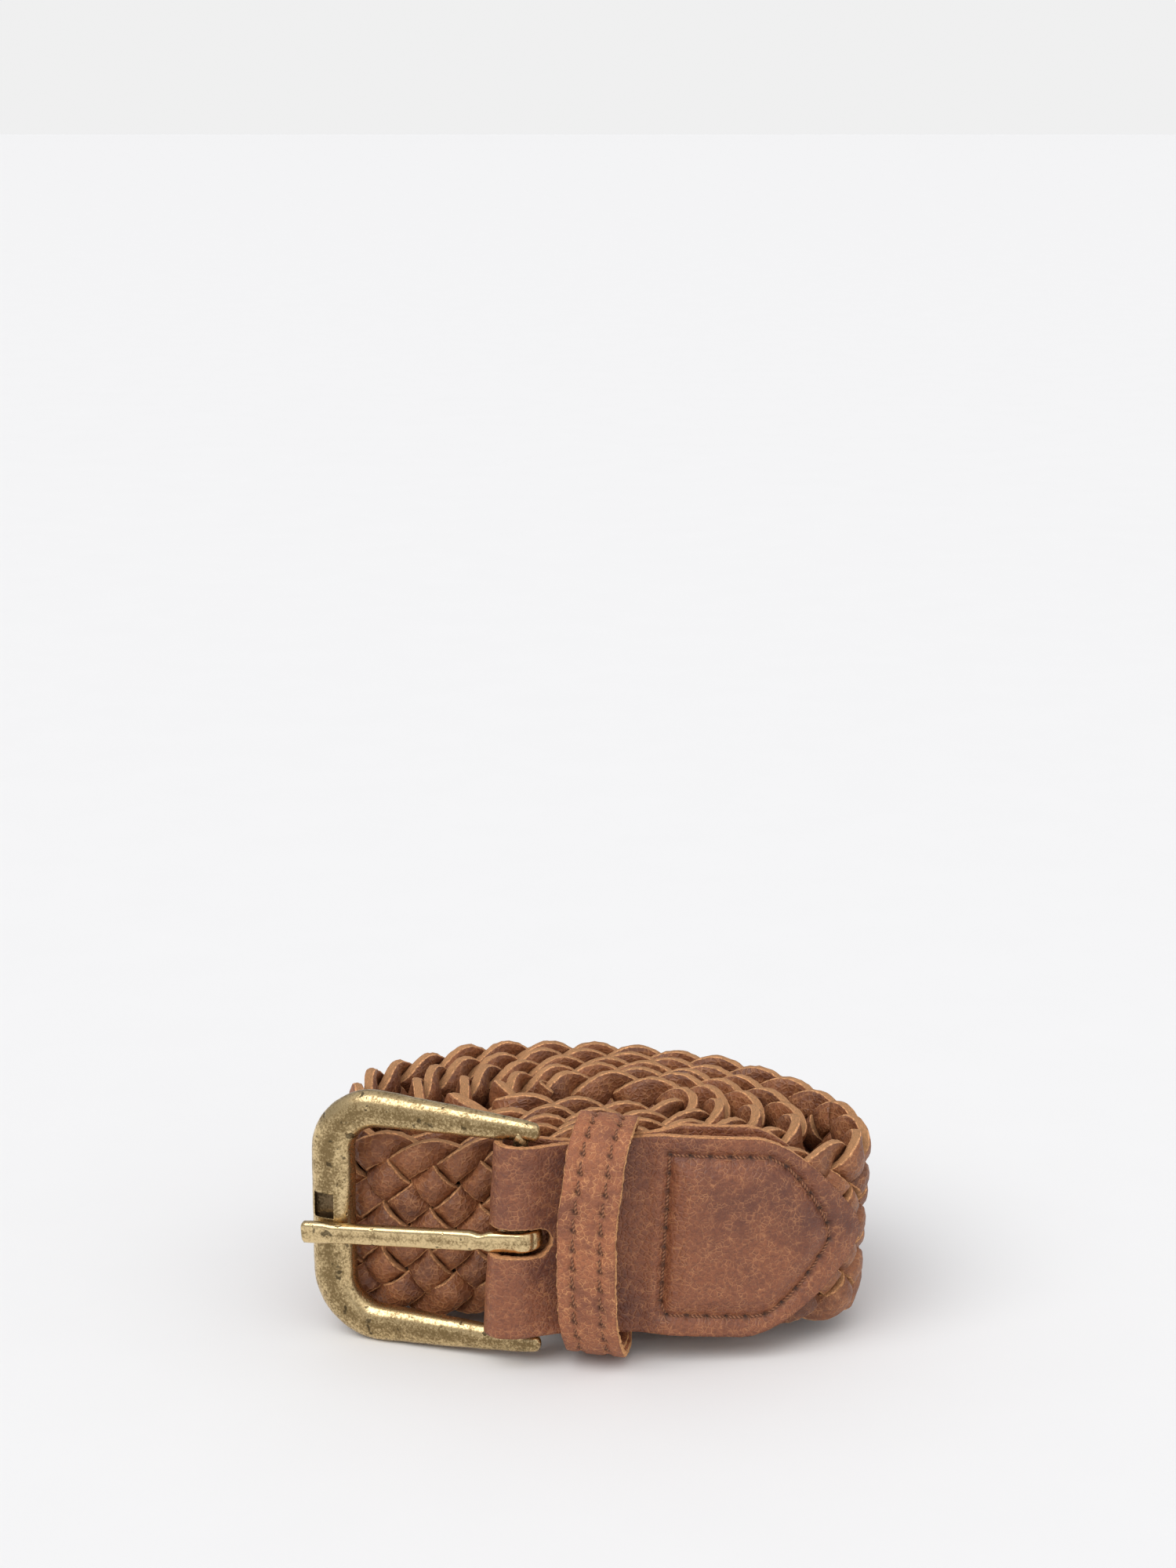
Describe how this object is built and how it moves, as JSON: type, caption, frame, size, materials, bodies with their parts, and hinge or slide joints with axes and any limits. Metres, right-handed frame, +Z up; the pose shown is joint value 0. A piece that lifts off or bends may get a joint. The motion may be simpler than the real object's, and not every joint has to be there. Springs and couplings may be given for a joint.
{
  "type": "braided leather belt",
  "caption": "Braided leather belt wound into a coil on its edge, with a folded and slotted buckle end, a loose keeper and a metal buckle with a prong.",
  "frame": {"origin": "on the floor, under the middle of the belt's bounding box", "axes": "+Z up from the floor, -Y out of the face with the tab and keeper, +X from the buckle towards the tab's point"},
  "size_m": [0.0977, 0.0732, 0.0453],
  "materials": {
    "braid": "matt, rough cut edges",
    "leather": "satin grain",
    "keeper": "matt",
    "thread": "waxed thread",
    "brass": "antiqued, mottled"
  },
  "bodies": {
    "coil": {"braid_coil": "braid", "tip_outer_leather": "leather", "tip_inner_leather": "leather"},
    "buckle_end": {"braid_buckle_end": "braid", "chape": "leather", "tab_stitching": "thread"},
    "keeper": {"keeper_loop": "keeper", "keeper_lining": "keeper", "keeper_stitching_left": "thread", "keeper_stitching_right": "thread"},
    "buckle": {"buckle_frame": "brass", "buckle_bar": "brass"},
    "prong": {"buckle_prong": "brass"}
  },
  "joints": [
    {"name": "strap_flex", "type": "hinge", "parent": "coil", "child": "buckle_end", "pos_m": [0.04758, -0.00403, 0.01873], "axis": [0.0548, 0.0519, 0.9971], "range_deg": [0, 30], "stiffness_Nm_per_rad": 0.1},
    {"name": "keeper_slide", "type": "slide", "parent": "buckle_end", "child": "keeper", "axis": [0.9934, 0.098, -0.0597], "range_m": [0, 0.002]},
    {"name": "buckle_hinge", "type": "hinge", "parent": "buckle_end", "child": "buckle", "pos_m": [-0.01106, -0.02702, 0.02265], "axis": [0, 0, 1], "range_deg": [0, 84]},
    {"name": "prong_hinge", "type": "hinge", "parent": "buckle", "child": "prong", "pos_m": [-0.01106, -0.02702, 0.02265], "axis": [0, 0, 1], "range_deg": [0, 31]}
  ]
}
